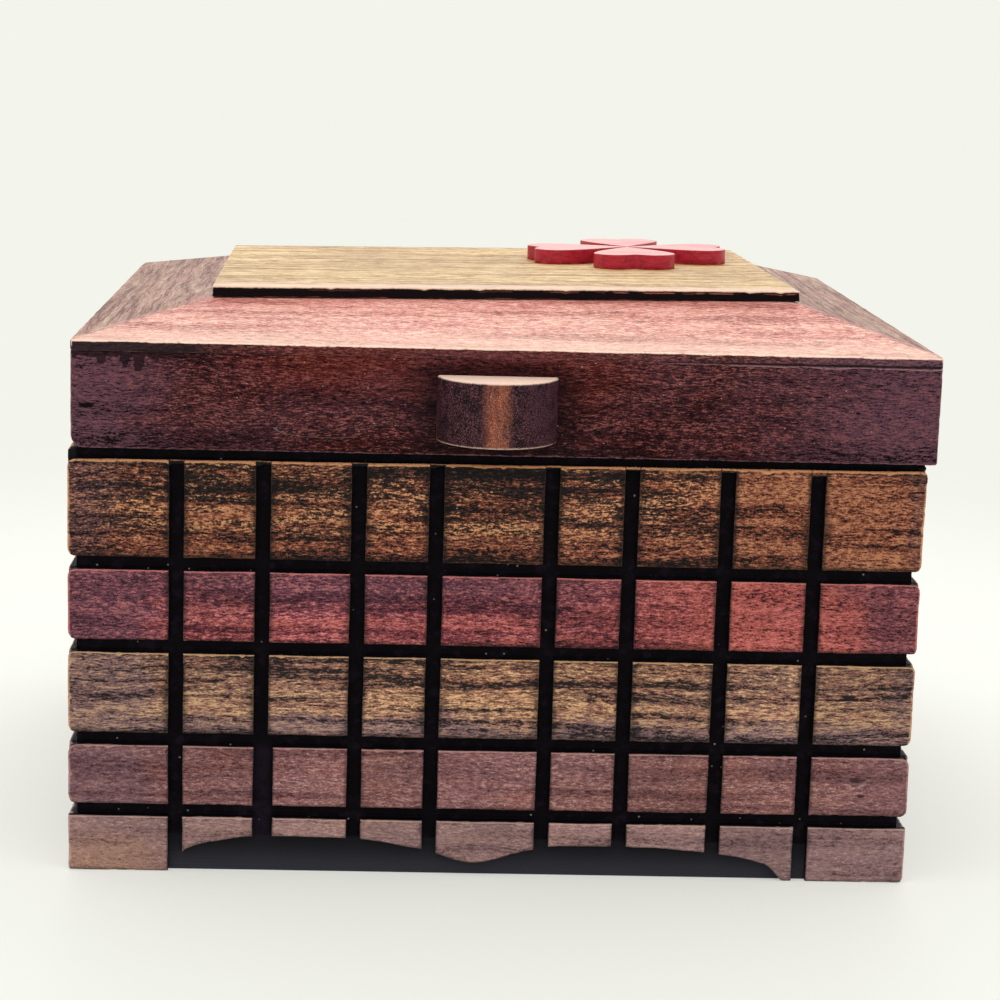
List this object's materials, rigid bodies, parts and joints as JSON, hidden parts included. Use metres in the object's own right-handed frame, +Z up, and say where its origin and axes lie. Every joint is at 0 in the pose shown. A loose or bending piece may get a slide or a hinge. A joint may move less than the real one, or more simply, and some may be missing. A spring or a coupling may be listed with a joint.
{
  "type": "hinged wooden box",
  "caption": "Rectangular wooden game box with rows of stained blocks on a black carcass, and a hinged bevelled lid with a plaque, hearts and a half-round grip.",
  "frame": {"origin": "middle of the base, on the surface that the box stands on", "axes": "+Z up; +Y to the back, where the hinges are; +X to the right seen from the front"},
  "size_m": [0.2021, 0.1961, 0.142],
  "materials": {
    "black_carcass": "black paint on wood, slight sheen",
    "bottom_board": "plain oiled wood",
    "row_brown_gold": "brown-gold stain with dark streaks, satin",
    "row_red": "dull red stain, satin",
    "row_golden_brown": "golden brown stain with dark streaks, satin",
    "row_mauve_brown": "mauve-brown stain, satin",
    "row_grey_brown": "grey-brown stain, satin",
    "lid_maroon": "dark maroon stain, satin",
    "lid_top_stain": "rubbed red stain over grain, satin",
    "plaque_tan": "tan stain, darkened edge",
    "heart_red": "crimson paint, satin",
    "grip_stain": "dark copper-brown stain, glossy",
    "hinge_brass": "bright brass, lightly aged",
    "screw_brass": "bright brass",
    "hinge_pin_steel": "plain steel"
  },
  "bodies": {
    "box": {"carcass_front": "black_carcass", "carcass_back": "black_carcass", "carcass_left": "black_carcass", "carcass_right": "black_carcass", "bottom_panel": "bottom_board", "front_row_1": "row_brown_gold", "front_row_2": "row_red", "front_row_3": "row_golden_brown", "front_row_4": "row_mauve_brown", "front_row_5": "row_grey_brown", "back_row_1": "row_brown_gold", "back_row_2": "row_red", "back_row_3": "row_golden_brown", "back_row_4": "row_mauve_brown", "back_row_5": "row_grey_brown", "left_row_1": "row_brown_gold", "left_row_2": "row_red", "left_row_3": "row_golden_brown", "left_row_4": "row_mauve_brown", "left_row_5": "row_grey_brown", "right_row_1": "row_brown_gold", "right_row_2": "row_red", "right_row_3": "row_golden_brown", "right_row_4": "row_mauve_brown", "right_row_5": "row_grey_brown", "hinge_box_leaf_left": "hinge_brass", "hinge_box_leaf_right": "hinge_brass", "hinge_pin_left": "hinge_pin_steel", "hinge_pin_right": "hinge_pin_steel", "hinge_box_screws_left": "screw_brass", "hinge_box_screws_right": "screw_brass"},
    "lid": {"lid_front_rail": "lid_maroon", "lid_back_rail": "lid_maroon", "lid_left_rail": "lid_maroon", "lid_right_rail": "lid_maroon", "lid_top_board": "lid_top_stain", "lid_plaque": "plaque_tan", "heart_front": "heart_red", "heart_back": "heart_red", "heart_left": "heart_red", "heart_right": "heart_red", "lid_grip": "grip_stain", "hinge_lid_leaf_left": "hinge_brass", "hinge_lid_leaf_right": "hinge_brass", "hinge_lid_screws_left": "screw_brass", "hinge_lid_screws_right": "screw_brass"}
  },
  "joints": [
    {"name": "lid_hinge", "type": "hinge", "parent": "box", "child": "lid", "pos_m": [0, 0.0922, 0.10195], "axis": [-1, 0, 0], "range_deg": [0, 180]}
  ]
}
